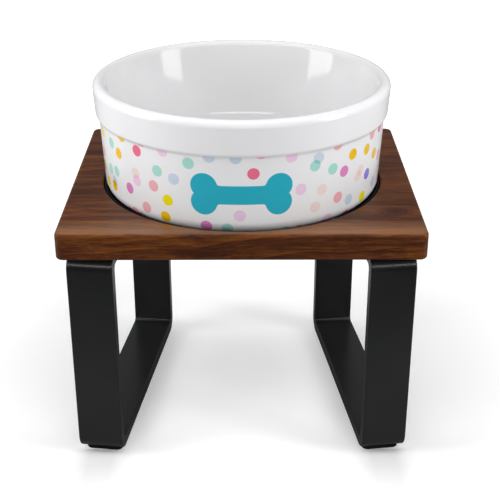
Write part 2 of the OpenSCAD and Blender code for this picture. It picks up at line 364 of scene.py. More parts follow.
def fastener_tree(turned):
    """Sets four turned fasteners on a loop's upper bar, each with a hex socket where one is asked for."""
    tree, get = new_tree("Fasteners of a leg", {
        "Section": "Geometry", "Steps around": "Int", "Socket width": "Float", "Socket depth": "Float",
        "Socket level": "Float", "Spacing across": "Float", "Spacing along": "Float", "Toe-in": "Float",
        "Place": "Vector", "Material": "Material"})
    blank = add(tree, "GeometryNodeGroup",
                {label: get[label] for label in ("Section", "Steps around", "Material")}, node_tree=turned)
    # The key is a hexagon whose middle is level with the head's top, so its upper half cuts the socket
    corner = add(tree, "ShaderNodeMath", {0: get["Socket width"], 1: 2 * math.cos(math.pi / 6)},
                 operation="DIVIDE")
    deep = add(tree, "ShaderNodeMath", {0: get["Socket depth"], 1: 2.0}, operation="MULTIPLY")
    hexagon = add(tree, "GeometryNodeMeshCylinder", {"Vertices": 6, "Radius": corner, "Depth": deep})
    level = add(tree, "ShaderNodeCombineXYZ", {"Z": get["Socket level"]})
    key = add(tree, "GeometryNodeTransform", {"Geometry": hexagon, "Translation": level})
    socketed = add(tree, "GeometryNodeMeshBoolean", {0: blank, 1: key}, operation="DIFFERENCE",
                   solver="EXACT")
    asked = add(tree, "ShaderNodeMath", {0: get["Socket width"], 1: 0.0}, operation="GREATER_THAN")
    piece = add(tree, "GeometryNodeSwitch", {"Switch": asked, "False": blank, "True": socketed},
                input_type="GEOMETRY")
    return close_at_leg(tree, get, at_holes(tree, get, piece))


def loop_tree():
    """Bends flat bar round a closed loop, drills its upper run and stands it in its place."""
    tree, get = new_tree("Bent bar loop", {
        "Loop length": "Float", "Loop height": "Float", "Bar width": "Float", "Bar thickness": "Float",
        "Bar edge": "Float", "Bend radius": "Float", "Hole diameter": "Float", "Spacing across": "Float",
        "Spacing along": "Float", "Toe-in": "Float", "Place": "Vector", "Material": "Material"})
    thick = get["Bar thickness"]
    long = add(tree, "ShaderNodeMath", {0: get["Loop length"], 1: thick}, operation="SUBTRACT")
    high = add(tree, "ShaderNodeMath", {0: get["Loop height"], 1: thick}, operation="SUBTRACT")
    centre_r = add(tree, "ShaderNodeMath", {0: thick, 1: 0.5, 2: get["Bend radius"]},
                   operation="MULTIPLY_ADD")
    corners = add(tree, "GeometryNodeCurvePrimitiveQuadrilateral", {"Width": long, "Height": high})
    bent = add(tree, "GeometryNodeFilletCurve", {"Curve": corners, "Count": BEND_STEPS, "Radius": centre_r},
               mode="POLY")
    path = add(tree, "GeometryNodeSetCurveNormal", {"Curve": bent}, mode="Z_UP")
    flat = add(tree, "GeometryNodeCurvePrimitiveQuadrilateral", {"Width": thick, "Height": get["Bar width"]})
    section = add(tree, "GeometryNodeFilletCurve",
                  {"Curve": flat, "Count": EDGE_STEPS, "Radius": get["Bar edge"]}, mode="POLY")
    swept = add(tree, "GeometryNodeCurveToMesh", {"Curve": path, "Profile Curve": section})
    upright = add(tree, "GeometryNodeTransform",
                  {"Geometry": swept, "Rotation": Euler((QUARTER, 0.0, QUARTER))})
    radius = add(tree, "ShaderNodeMath", {0: get["Hole diameter"], 1: 0.5}, operation="MULTIPLY")
    reach = add(tree, "ShaderNodeMath", {0: thick, 1: 2.0}, operation="MULTIPLY")
    drill = add(tree, "GeometryNodeMeshCylinder",
                {"Vertices": AROUND_SCREW, "Radius": radius, "Depth": reach})
    middle = add(tree, "ShaderNodeMath", {0: high, 1: 0.5}, operation="MULTIPLY")
    lift = add(tree, "ShaderNodeCombineXYZ", {"Z": middle})
    raised = add(tree, "GeometryNodeTransform",
                 {"Geometry": at_holes(tree, get, drill), "Translation": lift})
    cutters = add(tree, "GeometryNodeRealizeInstances", {"Geometry": raised})
    drilled = add(tree, "GeometryNodeMeshBoolean", {0: upright, 1: cutters}, operation="DIFFERENCE",
                  solver="EXACT")
    return close_at_leg(tree, get, drilled)


def pad_tree():
    """Cuts a pad with round corners from rubber sheet and lays it in its place."""
    tree, get = new_tree("Foot pad", {
        "Width": "Float", "Length": "Float", "Corner": "Float", "Thickness": "Float", "Toe-in": "Float",
        "Place": "Vector", "Material": "Material"})
    sheet = add(tree, "GeometryNodeCurvePrimitiveQuadrilateral",
                {"Width": get["Width"], "Height": get["Length"]})
    outline = add(tree, "GeometryNodeFilletCurve",
                  {"Curve": sheet, "Count": CORNER_STEPS, "Radius": get["Corner"]}, mode="POLY")
    face = add(tree, "GeometryNodeFillCurve", {"Curve": outline}, mode="NGONS")
    rise = add(tree, "ShaderNodeCombineXYZ", {"Z": get["Thickness"]})
    raised = add(tree, "GeometryNodeExtrudeMesh", {"Mesh": face, "Offset": rise, "Individual": False})
    under = add(tree, "GeometryNodeFlipFaces", {"Mesh": face})
    both = add(tree, "GeometryNodeJoinGeometry", {"Geometry": raised})
    plug(tree, both, {"Geometry": under})
    welded = add(tree, "GeometryNodeMergeByDistance", {"Geometry": both, "Distance": WELD})
    return close_at_leg(tree, get, welded)


# Pieces

def bake(obj):
    """Turns an object's modifiers into a plain mesh."""
    depsgraph = bpy.context.evaluated_depsgraph_get()
    mesh = bpy.data.meshes.new_from_object(obj.evaluated_get(depsgraph), preserve_all_data_layers=True,
                                           depsgraph=depsgraph)
    old = obj.data
    obj.modifiers.clear()
    obj.data = mesh
    mesh.name = obj.name
    bpy.data.meshes.remove(old)
    return mesh


def grow(name, mesh, tree, rim=0.0, **values):
    """Runs a node tree on a mesh and bakes it with faces outward, rims rounded and even shading."""
    obj = bpy.data.objects.new(name, mesh)
    bpy.context.scene.collection.objects.link(obj)
    grown = obj.modifiers.new(tree.name, "NODES")
    grown.node_group = tree
    for item in tree.interface.items_tree:
        key = item.name.lower().replace(" ", "_").replace("-", "_")
        if item.in_out == "INPUT" and key in values:
            grown[item.identifier] = values[key]
    mesh = bake(obj)
    outward = bmesh.new()
    outward.from_mesh(mesh)
    bmesh.ops.recalc_face_normals(outward, faces=outward.faces)
    outward.to_mesh(mesh)
    outward.free()
    if rim:
        rounded = obj.modifiers.new("Rim", "BEVEL")
        rounded.width = rim
        rounded.segments = RIM_STEPS
        rounded.limit_method = "ANGLE"
        rounded.angle_limit = SHARP_ANGLE
        mesh = bake(obj)
    mesh.shade_smooth()
    mesh.set_sharp_from_angle(angle=SHARP_ANGLE)
    even = obj.modifiers.new("Even shading", "WEIGHTED_NORMAL")
    even.keep_sharp = True
    bake(obj)
    return obj


def settle(obj, body, slot, *nodes):
    """Lets a finished piece ride on its body in place of its nodes; the slot is not used."""
    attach(obj, body)
    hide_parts(*nodes)


def dress(node, material):
    """Gives a node that keeps its own mesh a better material."""
    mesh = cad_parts[node].data
    mesh.materials.clear()
    mesh.materials.append(material)


# Turned sections, as points of radius and height

def towards(turn):
    """Direction at an angle from the radius."""
    return Vector((math.cos(turn), math.sin(turn)))


def arc(centre, radius, start, end):
    """Points round a centre from one angle to another, both ends in."""
    steps = max(2, round(abs(end - start) / ARC_STEP))
    return [centre + radius * towards(start + (end - start) * i / steps) for i in range(steps + 1)]


def on_side(point, lean, height):
    """Point at a height on the side that leans out through a point."""
    return Vector((point.x + (height - point.y) * math.tan(lean), height))


def section_mesh(name, points, height):
    """A chain of edges through a section's points, raised to a height."""
    mesh = bpy.data.meshes.new(name)
    edges = [(i, i + 1) for i in range(len(points) - 1)]
    mesh.from_pydata([(p.x, 0.0, p.y + height) for p in points], edges, [])
    return mesh


def bowl_section(s):
    """From the axis over the floor, wall and lip, down the collar, step and body, and under the foot."""
    lip_r = s.lip_t / 2
    lip = Vector((s.rim_d / 2 - lip_r, s.height - lip_r))
    wall_top = lip - lip_r * towards(-s.inside_draft)
    floor_z = s.foot_h + s.floor_t
    fillet_z = floor_z + s.floor_round
    fillet_side = on_side(wall_top, s.inside_draft, fillet_z - s.floor_round * math.sin(s.inside_draft))
    fillet = Vector((fillet_side.x - s.floor_round * math.cos(s.inside_draft), fillet_z))

    collar_low = on_side(lip + lip_r * towards(-s.collar_draft), s.collar_draft,
                         s.height - s.collar_h + s.step_round)
    collar = collar_low - s.step_round * towards(-s.collar_draft)
    body_top = collar_low - Vector((s.collar_step, 0.0))
    # The cove's centre is one radius outside the body's side and two radii from the collar's lower centre
    up_body = towards(QUARTER - s.body_draft)
    shift = body_top + s.step_round * towards(-s.body_draft) - collar
    rise = shift.dot(up_body)
    run = rise + math.sqrt(rise ** 2 - shift.length_squared + 4 * s.step_round ** 2)
    cove = collar + shift - run * up_body
    to_cove = math.atan2(cove.y - collar.y, cove.x - collar.x)

    base_z = s.foot_h + s.base_round
    base_side = on_side(body_top, s.body_draft, base_z - s.base_round * math.sin(s.body_draft))
    base = Vector((base_side.x - s.base_round * math.cos(s.body_draft), base_z))
    foot_out, foot_in = base.x, base.x - s.foot_w
    eased = s.foot_round
    return [
        Vector((0.0, floor_z)),
        *arc(fillet, s.floor_round, -QUARTER, -s.inside_draft),
        *arc(lip, lip_r, math.pi - s.inside_draft, -s.collar_draft),
        *arc(collar, s.step_round, -s.collar_draft, to_cove),
        *arc(cove, s.step_round, to_cove + math.pi, math.pi - s.body_draft)[1:],
        *arc(base, s.base_round, -s.body_draft, -QUARTER),
        *arc(Vector((foot_out - eased, eased)), eased, 0.0, -QUARTER),
        *arc(Vector((foot_in + eased, eased)), eased, -QUARTER, -math.pi),
        Vector((foot_in, s.foot_h)),
        Vector((0.0, s.foot_h)),
    ]


def seat_section(s):
    """Closed L: a flange with eased edges and a round-topped wall."""
    out = s.outside_d / 2
    flange = out - s.flange_w
    top_r = s.wall / 2
    edge = s.flange_t / 4
    start = Vector((flange + edge, 0.0))
    return [
        start,
        Vector((out, 0.0)),
        *arc(Vector((out - top_r, s.height - top_r)), top_r, 0.0, math.pi),
        Vector((out - s.wall, s.flange_t)),
        *arc(Vector((flange + edge, s.flange_t - edge)), edge, QUARTER, math.pi),
        *arc(Vector((flange + edge, edge)), edge, math.pi, 3 * QUARTER)[:-1],
        start,
    ]


def screw_section(s, shank):
    """Button head below 0 and shank above it, from the axis round to the axis."""
    dome_r = (s.head_h ** 2 + (s.head_d / 2) ** 2) / (2 * s.head_h)
    half = math.asin(s.head_d / 2 / dome_r)
    return [
        *arc(Vector((0.0, dome_r - s.head_h)), dome_r, -QUARTER, half - QUARTER),
        Vector((s.screw_d / 2, 0.0)),
        Vector((s.screw_d / 2, shank - s.easing)),
        Vector((s.screw_d / 2 - s.easing, shank)),
        Vector((0.0, shank)),
    ]


def washer_section(s, thickness):
    """Closed section of a flat washer with a small chamfer round its outside."""
    outside, inside = s.washer_d / 2, s.hole_d / 2
    start = Vector((inside, 0.0))
    return [
        start,
        Vector((outside - s.easing, 0.0)),
        Vector((outside, s.easing)),
        Vector((outside, thickness - s.easing)),
        Vector((outside - s.easing, thickness)),
        Vector((inside, thickness)),
        start,
    ]


# Materials

def new_material(name):
    """A material with its node tree, its shader and the place on the piece."""
    made = bpy.data.materials.new(name)
    made.use_nodes = True
    tree = made.node_tree
    return made, tree, tree.nodes["Principled BSDF"], add(tree, "ShaderNodeTexCoord").outputs["Object"]


def per(x, y, z):
    """Mapping scale that makes a pattern's feature the given millimetres long on each axis."""
    return (1 / (x * MM), 1 / (y * MM), 1 / (z * MM))


def mottle(tree, place, size, detail=1.0, roughness=0.5):
    """Uneven tone from 0 to 1, with patches of the given millimetres on each axis."""
    scaled = add(tree, "ShaderNodeMapping", {"Vector": place, "Scale": per(*size)})
    return add(tree, "ShaderNodeTexNoise",
               {"Vector": scaled, "Scale": 1.0, "Detail": detail, "Roughness": roughness})


def dot_layer(tree, flat, s, half_round, spacing, tilt, names):
    """One layer of dots: the ink at each place of the rolled-out band, and white between the dots."""
    radius = s.dot_d / 2
    # A dot wanders only as far as its cell has room, so the dots of one layer keep apart
    apart = 1 - s.dot_d / spacing
    turned = add(tree, "ShaderNodeVectorRotate", {"Vector": flat, "Angle": tilt}, rotation_type="Z_AXIS")
    cells = add(tree, "ShaderNodeTexVoronoi", {"Vector": turned, "Scale": 1 / spacing, "Randomness": apart},
                voronoi_dimensions="2D")
    inside = add(tree, "ShaderNodeMapRange", {
        "Value": cells.outputs["Distance"], "From Min": (radius + s.soft) / spacing,
        "From Max": (radius - s.soft) / spacing})
    centre = add(tree, "ShaderNodeVectorRotate", {"Vector": cells.outputs["Position"], "Angle": -tilt},
                 rotation_type="Z_AXIS")
    # A dot too near the motif, or cut by the join at the back, is left out whole
    clear = add(tree, "ShaderNodeMath", {0: motif_distance(tree, centre, s), 1: radius + s.motif_margin},
                operation="GREATER_THAN")
    away = add(tree, "ShaderNodeVectorMath", {0: centre}, operation="ABSOLUTE")
    across = add(tree, "ShaderNodeSeparateXYZ", {"Vector": away}).outputs["X"]
    whole = add(tree, "ShaderNodeMath", {0: across, 1: half_round - radius}, operation="LESS_THAN")
    allowed = add(tree, "ShaderNodeMath", {0: clear, 1: whole}, operation="MULTIPLY")
    shown = add(tree, "ShaderNodeMath", {0: inside, 1: allowed}, operation="MULTIPLY")
    pick = add(tree, "ShaderNodeSeparateColor", {"Color": cells.outputs["Color"]})
    inks = add(tree, "ShaderNodeValToRGB", {"Fac": pick},
               [(i / len(names), getattr(s, ink)) for i, ink in enumerate(names)])
    inks.color_ramp.interpolation = "CONSTANT"
    return add(tree, "ShaderNodeMix", {0: shown, 6: WHITE, 7: inks}, data_type="RGBA")


def motif_distance(tree, flat, s):
    """Distance to the plain bone motif, a shaft with two softly joined knobs at each end; below 0 inside."""
    knob = s.knob_d / 2
    blend = knob / 3
    folded = add(tree, "ShaderNodeVectorMath", {0: flat}, operation="ABSOLUTE")
    axes = add(tree, "ShaderNodeSeparateXYZ", {"Vector": folded}).outputs
    past_end = add(tree, "ShaderNodeMath", {0: axes["X"], 1: s.motif_l / 2 - knob}, operation="SUBTRACT")
    past_side = add(tree, "ShaderNodeMath", {0: axes["Y"], 1: s.shaft_t / 2}, operation="SUBTRACT")
    shaft = add(tree, "ShaderNodeMath", {0: past_end, 1: past_side}, operation="MAXIMUM")
    centre = (s.motif_l / 2 - knob, s.motif_h / 2 - knob, 0.0)
    apart = add(tree, "ShaderNodeVectorMath", {0: folded, 1: centre}, operation="DISTANCE")
    round_end = add(tree, "ShaderNodeMath", {0: apart, 1: knob}, operation="SUBTRACT")
    return add(tree, "ShaderNodeMath", {0: shaft, 1: round_end, 2: blend}, operation="SMOOTH_MIN")


def glazed_stoneware(bowl, s):
    """White glaze over stoneware, printed before firing: crisp flat inks under a slightly wavy gloss, greyer
    inside and round the base as painted shade.
    """
    made, tree, shader, place = new_material("Glazed stoneware")
    # Radius of the lip's crest, which is about the printed body's too
    crest_r = bowl.rim_d / 2 - bowl.lip_t / 2
    axes = add(tree, "ShaderNodeSeparateXYZ", {"Vector": place}).outputs
    # The band rolled out flat, with the motif's middle at its origin and the join at the back
    front = add(tree, "ShaderNodeMath", {0: axes["Y"], 1: -1.0}, operation="MULTIPLY")
    turn = add(tree, "ShaderNodeMath", {0: axes["X"], 1: front}, operation="ARCTAN2")
    along = add(tree, "ShaderNodeMath", {0: turn, 1: crest_r}, operation="MULTIPLY")
    rise = add(tree, "ShaderNodeMath", {0: axes["Z"], 1: BOWL_LOW.z + s.motif_z}, operation="SUBTRACT")
    flat = add(tree, "ShaderNodeCombineXYZ", {"X": along, "Y": rise})
    half_round = math.pi * crest_r
    dots = dot_layer(tree, flat, s, half_round, s.spacing, s.tilt, INKS)
    over = dot_layer(tree, flat, s, half_round, s.over_spacing, s.over_tilt, PALE_INKS)
    inks = add(tree, "ShaderNodeMix", {0: 1.0, 6: dots, 7: over}, data_type="RGBA", blend_type="MULTIPLY")
    motif = add(tree, "ShaderNodeMapRange", {
        "Value": motif_distance(tree, flat, s), "From Min": s.soft, "From Max": -s.soft})
    printed = add(tree, "ShaderNodeMix", {0: motif, 6: inks, 7: rgba(s.motif)}, data_type="RGBA")
    above_low = add(tree, "ShaderNodeMath", {0: axes["Z"], 1: BOWL_LOW.z + s.low}, operation="GREATER_THAN")
    below_high = add(tree, "ShaderNodeMath", {0: axes["Z"], 1: BOWL_LOW.z + s.high}, operation="LESS_THAN")
    in_band = add(tree, "ShaderNodeMath", {0: above_low, 1: below_high}, operation="MULTIPLY")
    # The print goes round the outside only, which lies further out than the inside wall
    inside_r = bowl.rim_d / 2 - bowl.lip_t + 0.5 * MM
    flat_place = add(tree, "ShaderNodeVectorMath", {0: place, 1: (1.0, 1.0, 0.0)}, operation="MULTIPLY")
    out = add(tree, "ShaderNodeVectorMath", {0: flat_place}, operation="LENGTH")
    outside = add(tree, "ShaderNodeMath", {0: out, 1: inside_r}, operation="GREATER_THAN")
    band = add(tree, "ShaderNodeMath", {0: in_band, 1: outside}, operation="MULTIPLY")
    ink = add(tree, "ShaderNodeMix", {0: band, 6: WHITE, 7: printed}, data_type="RGBA")
    # Painted shade: the glaze turns greyer from the crest of the lip inwards, and outside round the narrower
    # base
    painted_shade = add(tree, "ShaderNodeMapRange", {
        "Value": out, "From Min": crest_r + 0.8 * MM, "From Max": crest_r - 3.2 * MM})
    glaze = add(tree, "ShaderNodeMix", {0: painted_shade, 6: rgba(bowl.glaze), 7: rgba(bowl.pool)}, data_type="RGBA")
    coloured = add(tree, "ShaderNodeMix", {0: 1.0, 6: glaze, 7: ink}, data_type="RGBA", blend_type="MULTIPLY")
    # Waves of about 14 mm where the glaze ran before it set
    waves = mottle(tree, place, (14, 14, 20))
    wavy = add(tree, "ShaderNodeBump", {"Strength": 1.0, "Distance": 0.03 * MM, "Height": waves})
    gloss = add(tree, "ShaderNodeMapRange", {"Value": waves, "To Min": 0.06, "To Max": 0.12})
    plug(tree, shader, {"Base Color": coloured, "Normal": wavy, "Roughness": gloss, "IOR": 1.45})
    return made


def bare_stoneware(tint):
    """Unglazed fired clay under the foot: dry and matt, with a fine sandy speckle."""
    made, tree, shader, place = new_material("Bare stoneware")
    grains = mottle(tree, place, (0.8, 0.8, 0.8), detail=2.0)
    clay = add(tree, "ShaderNodeValToRGB", {"Fac": grains}, [(0.3, toned(tint, 0.75)), (0.6, tint)])
    rough = add(tree, "ShaderNodeBump", {"Strength": 1.0, "Distance": 0.05 * MM, "Height": grains})
    plug(tree, shader, {"Base Color": clay, "Normal": rough, "Roughness": 0.85})
    return made


def oiled_walnut(s):
    """Flat-sawn walnut, sanded and oiled: dark arched rings along X, fine open pores and a satin sheen, with
    painted sheen along the front of the top and painted highlights on its upper edges.
    """
    made, tree, shader, place = new_material("Oiled walnut")
    axes = add(tree, "ShaderNodeSeparateXYZ", {"Vector": place}).outputs
    outward = place.node.outputs["Normal"]
    normal = add(tree, "ShaderNodeSeparateXYZ", {"Vector": outward}).outputs
    # The tree's heart runs along X under the board and dips a little, which draws long arches on the top
    heart_y, heart_z, dip = -18 * MM, (BOARD_LOW.z + BOARD_HIGH.z) / 2 - 85 * MM, math.radians(3.2)
    heart = add(tree, "ShaderNodeMapping", {
        "Vector": place, "Location": (0.0, -heart_y, -heart_z), "Rotation": (0.0, dip, 0.0)})
    across = add(tree, "ShaderNodeVectorMath", {0: heart, 1: (0.0, 1.0, 1.0)}, operation="MULTIPLY")
    out = add(tree, "ShaderNodeVectorMath", {0: across}, operation="LENGTH")
    wander = mottle(tree, place, (150, 32, 32), detail=2.0)
    bent = add(tree, "ShaderNodeMath", {0: wander, 1: 22 * MM, 2: out}, operation="MULTIPLY_ADD")
    # A pin knot near the right front corner pushes the rings aside
    knot_at = (99 * MM, -66 * MM, BOARD_HIGH.z)
    knot_scale = per(16, 10, 20)
    knot_place = add(tree, "ShaderNodeMapping", {
        "Vector": place, "Location": [-at * scale for at, scale in zip(knot_at, knot_scale)],
        "Scale": knot_scale})
    knot = add(tree, "ShaderNodeTexGradient", {"Vector": knot_place},
               gradient_type="QUADRATIC_SPHERE").outputs["Fac"]
    swirled = add(tree, "ShaderNodeMath", {0: knot, 1: 14 * MM, 2: bent}, operation="MULTIPLY_ADD")
    phase = add(tree, "ShaderNodeMath", {0: swirled, 1: s.ring_w}, operation="DIVIDE")
    ring = add(tree, "ShaderNodeMath", {0: phase}, operation="FRACT")
    number = add(tree, "ShaderNodeMath", {0: phase}, operation="FLOOR")
    year = add(tree, "ShaderNodeTexWhiteNoise", {"W": number}, noise_dimensions="1D").outputs["Value"]
    # Each ring darkens towards its late wood and starts again with a clear line
    late = add(tree, "ShaderNodeMath", {0: ring, 1: 1.6}, operation="POWER")
    # The fibres sway a few millimetres on their way along the board
    swaying = mottle(tree, place, (75, 40, 40))
    along = add(tree, "ShaderNodeVectorMath", {0: swaying, 1: (0.0, 14 * MM, 14 * MM), 2: place},
                operation="MULTIPLY_ADD")
    # Bands about 8 mm, streaks 2 mm and fibres 0.7 mm wide, drawn coarser than real ones so that they show
    band = mottle(tree, along, (80, 8, 8))
    streak = mottle(tree, along, (50, 2.4, 2.4), detail=3.0, roughness=0.65)
    fibre = mottle(tree, along, (14, 0.7, 0.7), detail=2.0, roughness=0.6)
    # Painted sheen and highlight: paler along the front of the top, and on the front face just under its edge
    front = add(tree, "ShaderNodeMapRange", {
        "Value": axes["Y"], "From Min": BOARD_LOW.y + 24 * MM, "From Max": BOARD_LOW.y + 6 * MM,
        "To Max": 0.24})
    flat = add(tree, "ShaderNodeMapRange", {"Value": normal["Z"], "From Min": 0.75})
    painted_front_sheen = add(tree, "ShaderNodeMath", {0: front, 1: flat}, operation="MULTIPLY")
    under = add(tree, "ShaderNodeMapRange", {
        "Value": axes["Z"], "From Min": BOARD_HIGH.z - 8 * MM, "From Max": BOARD_HIGH.z - 2 * MM,
        "To Max": 0.11})
    upright = add(tree, "ShaderNodeMath", {0: normal["Z"], 1: 0.5}, operation="LESS_THAN")
    painted_sheen_tone = add(tree, "ShaderNodeMath", {0: under, 1: upright, 2: painted_front_sheen}, operation="MULTIPLY_ADD")
    # The figure's tone: what each part adds to the middle of the range
    tone = add(tree, "ShaderNodeMath", {0: painted_sheen_tone, 1: -0.35}, operation="ADD")
    parts = ((knot, -0.4), (year, 0.16), (late, -0.16), (band, 0.55), (streak, 0.6), (fibre, 0.6))
    for part, share in parts:
        tone = add(tree, "ShaderNodeMath", {0: part, 1: share, 2: tone}, operation="MULTIPLY_ADD")
    grain = add(tree, "ShaderNodeValToRGB", {"Fac": tone}, [(0.15, s.dark), (0.5, s.middle), (0.85, s.light)])
    # Open pores: short dark dashes along the grain, 0.5 mm wide here so that they show
    pores = mottle(tree, along, (7, 0.5, 0.5))
    open_pore = add(tree, "ShaderNodeMapRange", {"Value": pores, "From Min": 0.6, "From Max": 0.7})
    pored = add(tree, "ShaderNodeMath", {0: open_pore, 1: 0.55}, operation="MULTIPLY")
    # Sawn ends drink more oil and turn darker
    facing = add(tree, "ShaderNodeVectorMath", {0: outward}, operation="ABSOLUTE")
    sides = add(tree, "ShaderNodeSeparateXYZ", {"Vector": facing}).outputs
    end_grain = add(tree, "ShaderNodeMath", {0: sides["X"], 1: 0.35}, operation="MULTIPLY")
    darkened = add(tree, "ShaderNodeMath", {0: pored, 1: end_grain}, operation="MAXIMUM")
    oiled = add(tree, "ShaderNodeMix", {0: darkened, 6: grain, 7: rgba(s.dark)}, data_type="RGBA")
    # Painted sheen: the front of the top is mixed towards the pale colour
    wood_with_painted_sheen = add(tree, "ShaderNodeMix", {0: painted_front_sheen, 6: oiled, 7: rgba(s.dry)}, data_type="RGBA")
    # Painted highlight on the rounded upper edges, and a little on the upright corners, partly the paler
    # sanded wood there
    level = add(tree, "ShaderNodeMath", {0: sides["Y"], 1: sides["Z"]}, operation="MAXIMUM")
    squarest = add(tree, "ShaderNodeMath", {0: level, 1: sides["X"]}, operation="MAXIMUM")
    rounded = add(tree, "ShaderNodeMapRange", {"Value": squarest, "From Min": 0.97, "From Max": 0.75})
    from_middle = add(tree, "ShaderNodeVectorMath", {0: place}, operation="ABSOLUTE")
    to_edge = add(tree, "ShaderNodeVectorMath", {0: from_middle, 1: BOARD_HIGH}, operation="SUBTRACT")
    reach = add(tree, "ShaderNodeSeparateXYZ", {"Vector": to_edge}).outputs
    nearest = add(tree, "ShaderNodeMath", {0: reach["X"], 1: reach["Y"]}, operation="MAXIMUM")
    rim = add(tree, "ShaderNodeMath", {0: nearest, 1: -3 * MM}, operation="GREATER_THAN")
    upper = add(tree, "ShaderNodeMapRange", {"Value": normal["Z"], "From Min": -0.15, "From Max": 0.35})
    outer = add(tree, "ShaderNodeMath", {0: rounded, 1: rim}, operation="MULTIPLY")
    painted_edge_highlight = add(tree, "ShaderNodeMath", {0: outer, 1: upper}, operation="MULTIPLY")
    uneven = add(tree, "ShaderNodeMapRange", {
        "Value": tone, "From Min": 0.2, "From Max": 0.7, "To Max": 0.26})
    sanded = add(tree, "ShaderNodeMath", {0: painted_edge_highlight, 1: uneven}, operation="MULTIPLY")
    # Painted highlight laid on the upper edges
    wood = add(tree, "ShaderNodeMix", {0: sanded, 6: wood_with_painted_sheen, 7: rgba(s.edge)}, data_type="RGBA")
    satin = add(tree, "ShaderNodeMapRange", {"Value": tone, "To Min": 0.46, "To Max": 0.36})
    hollow = add(tree, "ShaderNodeMath", {0: open_pore, 1: -1.0, 2: fibre}, operation="MULTIPLY_ADD")
    relief = add(tree, "ShaderNodeBump", {"Strength": 0.6, "Distance": 0.05 * MM, "Height": hollow})
    plug(tree, shader, {"Base Color": wood, "Roughness": satin, "Normal": relief, "Specular IOR Level": 0.22})
    return made


def powder_coat(tint):
    """Fine matt black powder coat on steel: an even satin skin with a faint orange peel."""
    made, tree, shader, place = new_material("Powder-coated steel")
    # Peel of about 0.9 mm, coarser than the real 0.3 mm so that it shows, on a film of uneven thickness
    peel = mottle(tree, place, (0.9, 0.9, 0.9))
    film = mottle(tree, place, (35, 35, 35), detail=2.0)
    skin = add(tree, "ShaderNodeValToRGB", {"Fac": film}, [(0.35, tint), (0.7, toned(tint, 1.25))])
    satin = add(tree, "ShaderNodeMapRange", {"Value": film, "To Min": 0.21, "To Max": 0.28})
    relief = add(tree, "ShaderNodeBump", {"Strength": 1.0, "Distance": 0.012 * MM, "Height": peel})
    plug(tree, shader, {"Base Color": skin, "Roughness": satin, "Normal": relief, "Specular IOR Level": 0.5})
    return made


def rubber(name, tint, grain):
    """Black rubber with a dull grain of so many millimetres: soft highlights and dust in the low spots."""
    made, tree, shader, place = new_material(name)
    pebble = mottle(tree, place, (grain, grain, grain), detail=2.0)
    skin = add(tree, "ShaderNodeValToRGB", {"Fac": pebble}, [(0.3, toned(tint, 1.4)), (0.55, tint)])
    relief = add(tree, "ShaderNodeBump", {"Strength": 1.0, "Distance": 0.04 * MM, "Height": pebble})
    plug(tree, shader, {"Base Color": skin, "Normal": relief, "Roughness": 0.68, "Specular IOR Level": 0.15})
    return made


def turned_metal(name, tint, roughness):
    """Plated or bare turned metal: fine tool rings break up its gloss."""
    made, tree, shader, place = new_material(name)
    rings = mottle(tree, place, (2.5, 2.5, 0.4), detail=2.0)
    plated = add(tree, "ShaderNodeValToRGB", {"Fac": rings}, [(0.4, tint), (0.8, toned(tint, 1.4))])
    gloss = add(tree, "ShaderNodeMapRange", {
        "Value": rings, "To Min": roughness - 0.08, "To Max": roughness + 0.08})
    plug(tree, shader, {"Base Color": plated, "Roughness": gloss, "Metallic": 1.0})
    return made


# Level of the paper in the light that it throws back on the object
BOUNCE = 0.56
# Its level in reflections at depths in metres, with light and shade painted in: dim far in front, lit near
# the legs, shaded under the board and bright behind
MIRROR_FRONT, MIRROR_BACK = -0.5, 0.2
PAINTED_MIRROR_LEVELS = ((-0.451, 0.07), (-0.332, 0.1), (-0.178, 0.3), (-0.101, 0.26), (-0.045, 0.14), (0.074, 0.14),
                 (0.151, 0.5))
# Round patches of painted light and shade on the paper: depth, inner and outer radius in metres, and change
# of glow. The first is painted deep shade under the middle of the board, the second painted light that
# reaches in under its front
PAINTED_PATCHES = ((0.02, 0.02, 0.08, -0.16), (-0.09, 0.01, 0.05, 0.12))
# Middle of a foot's painted reflection in metres from the middle, and the depth that it stays in front of
PAINTED_REFLECTION_X = 0.097
PAINTED_REFLECTION_Y = -0.09


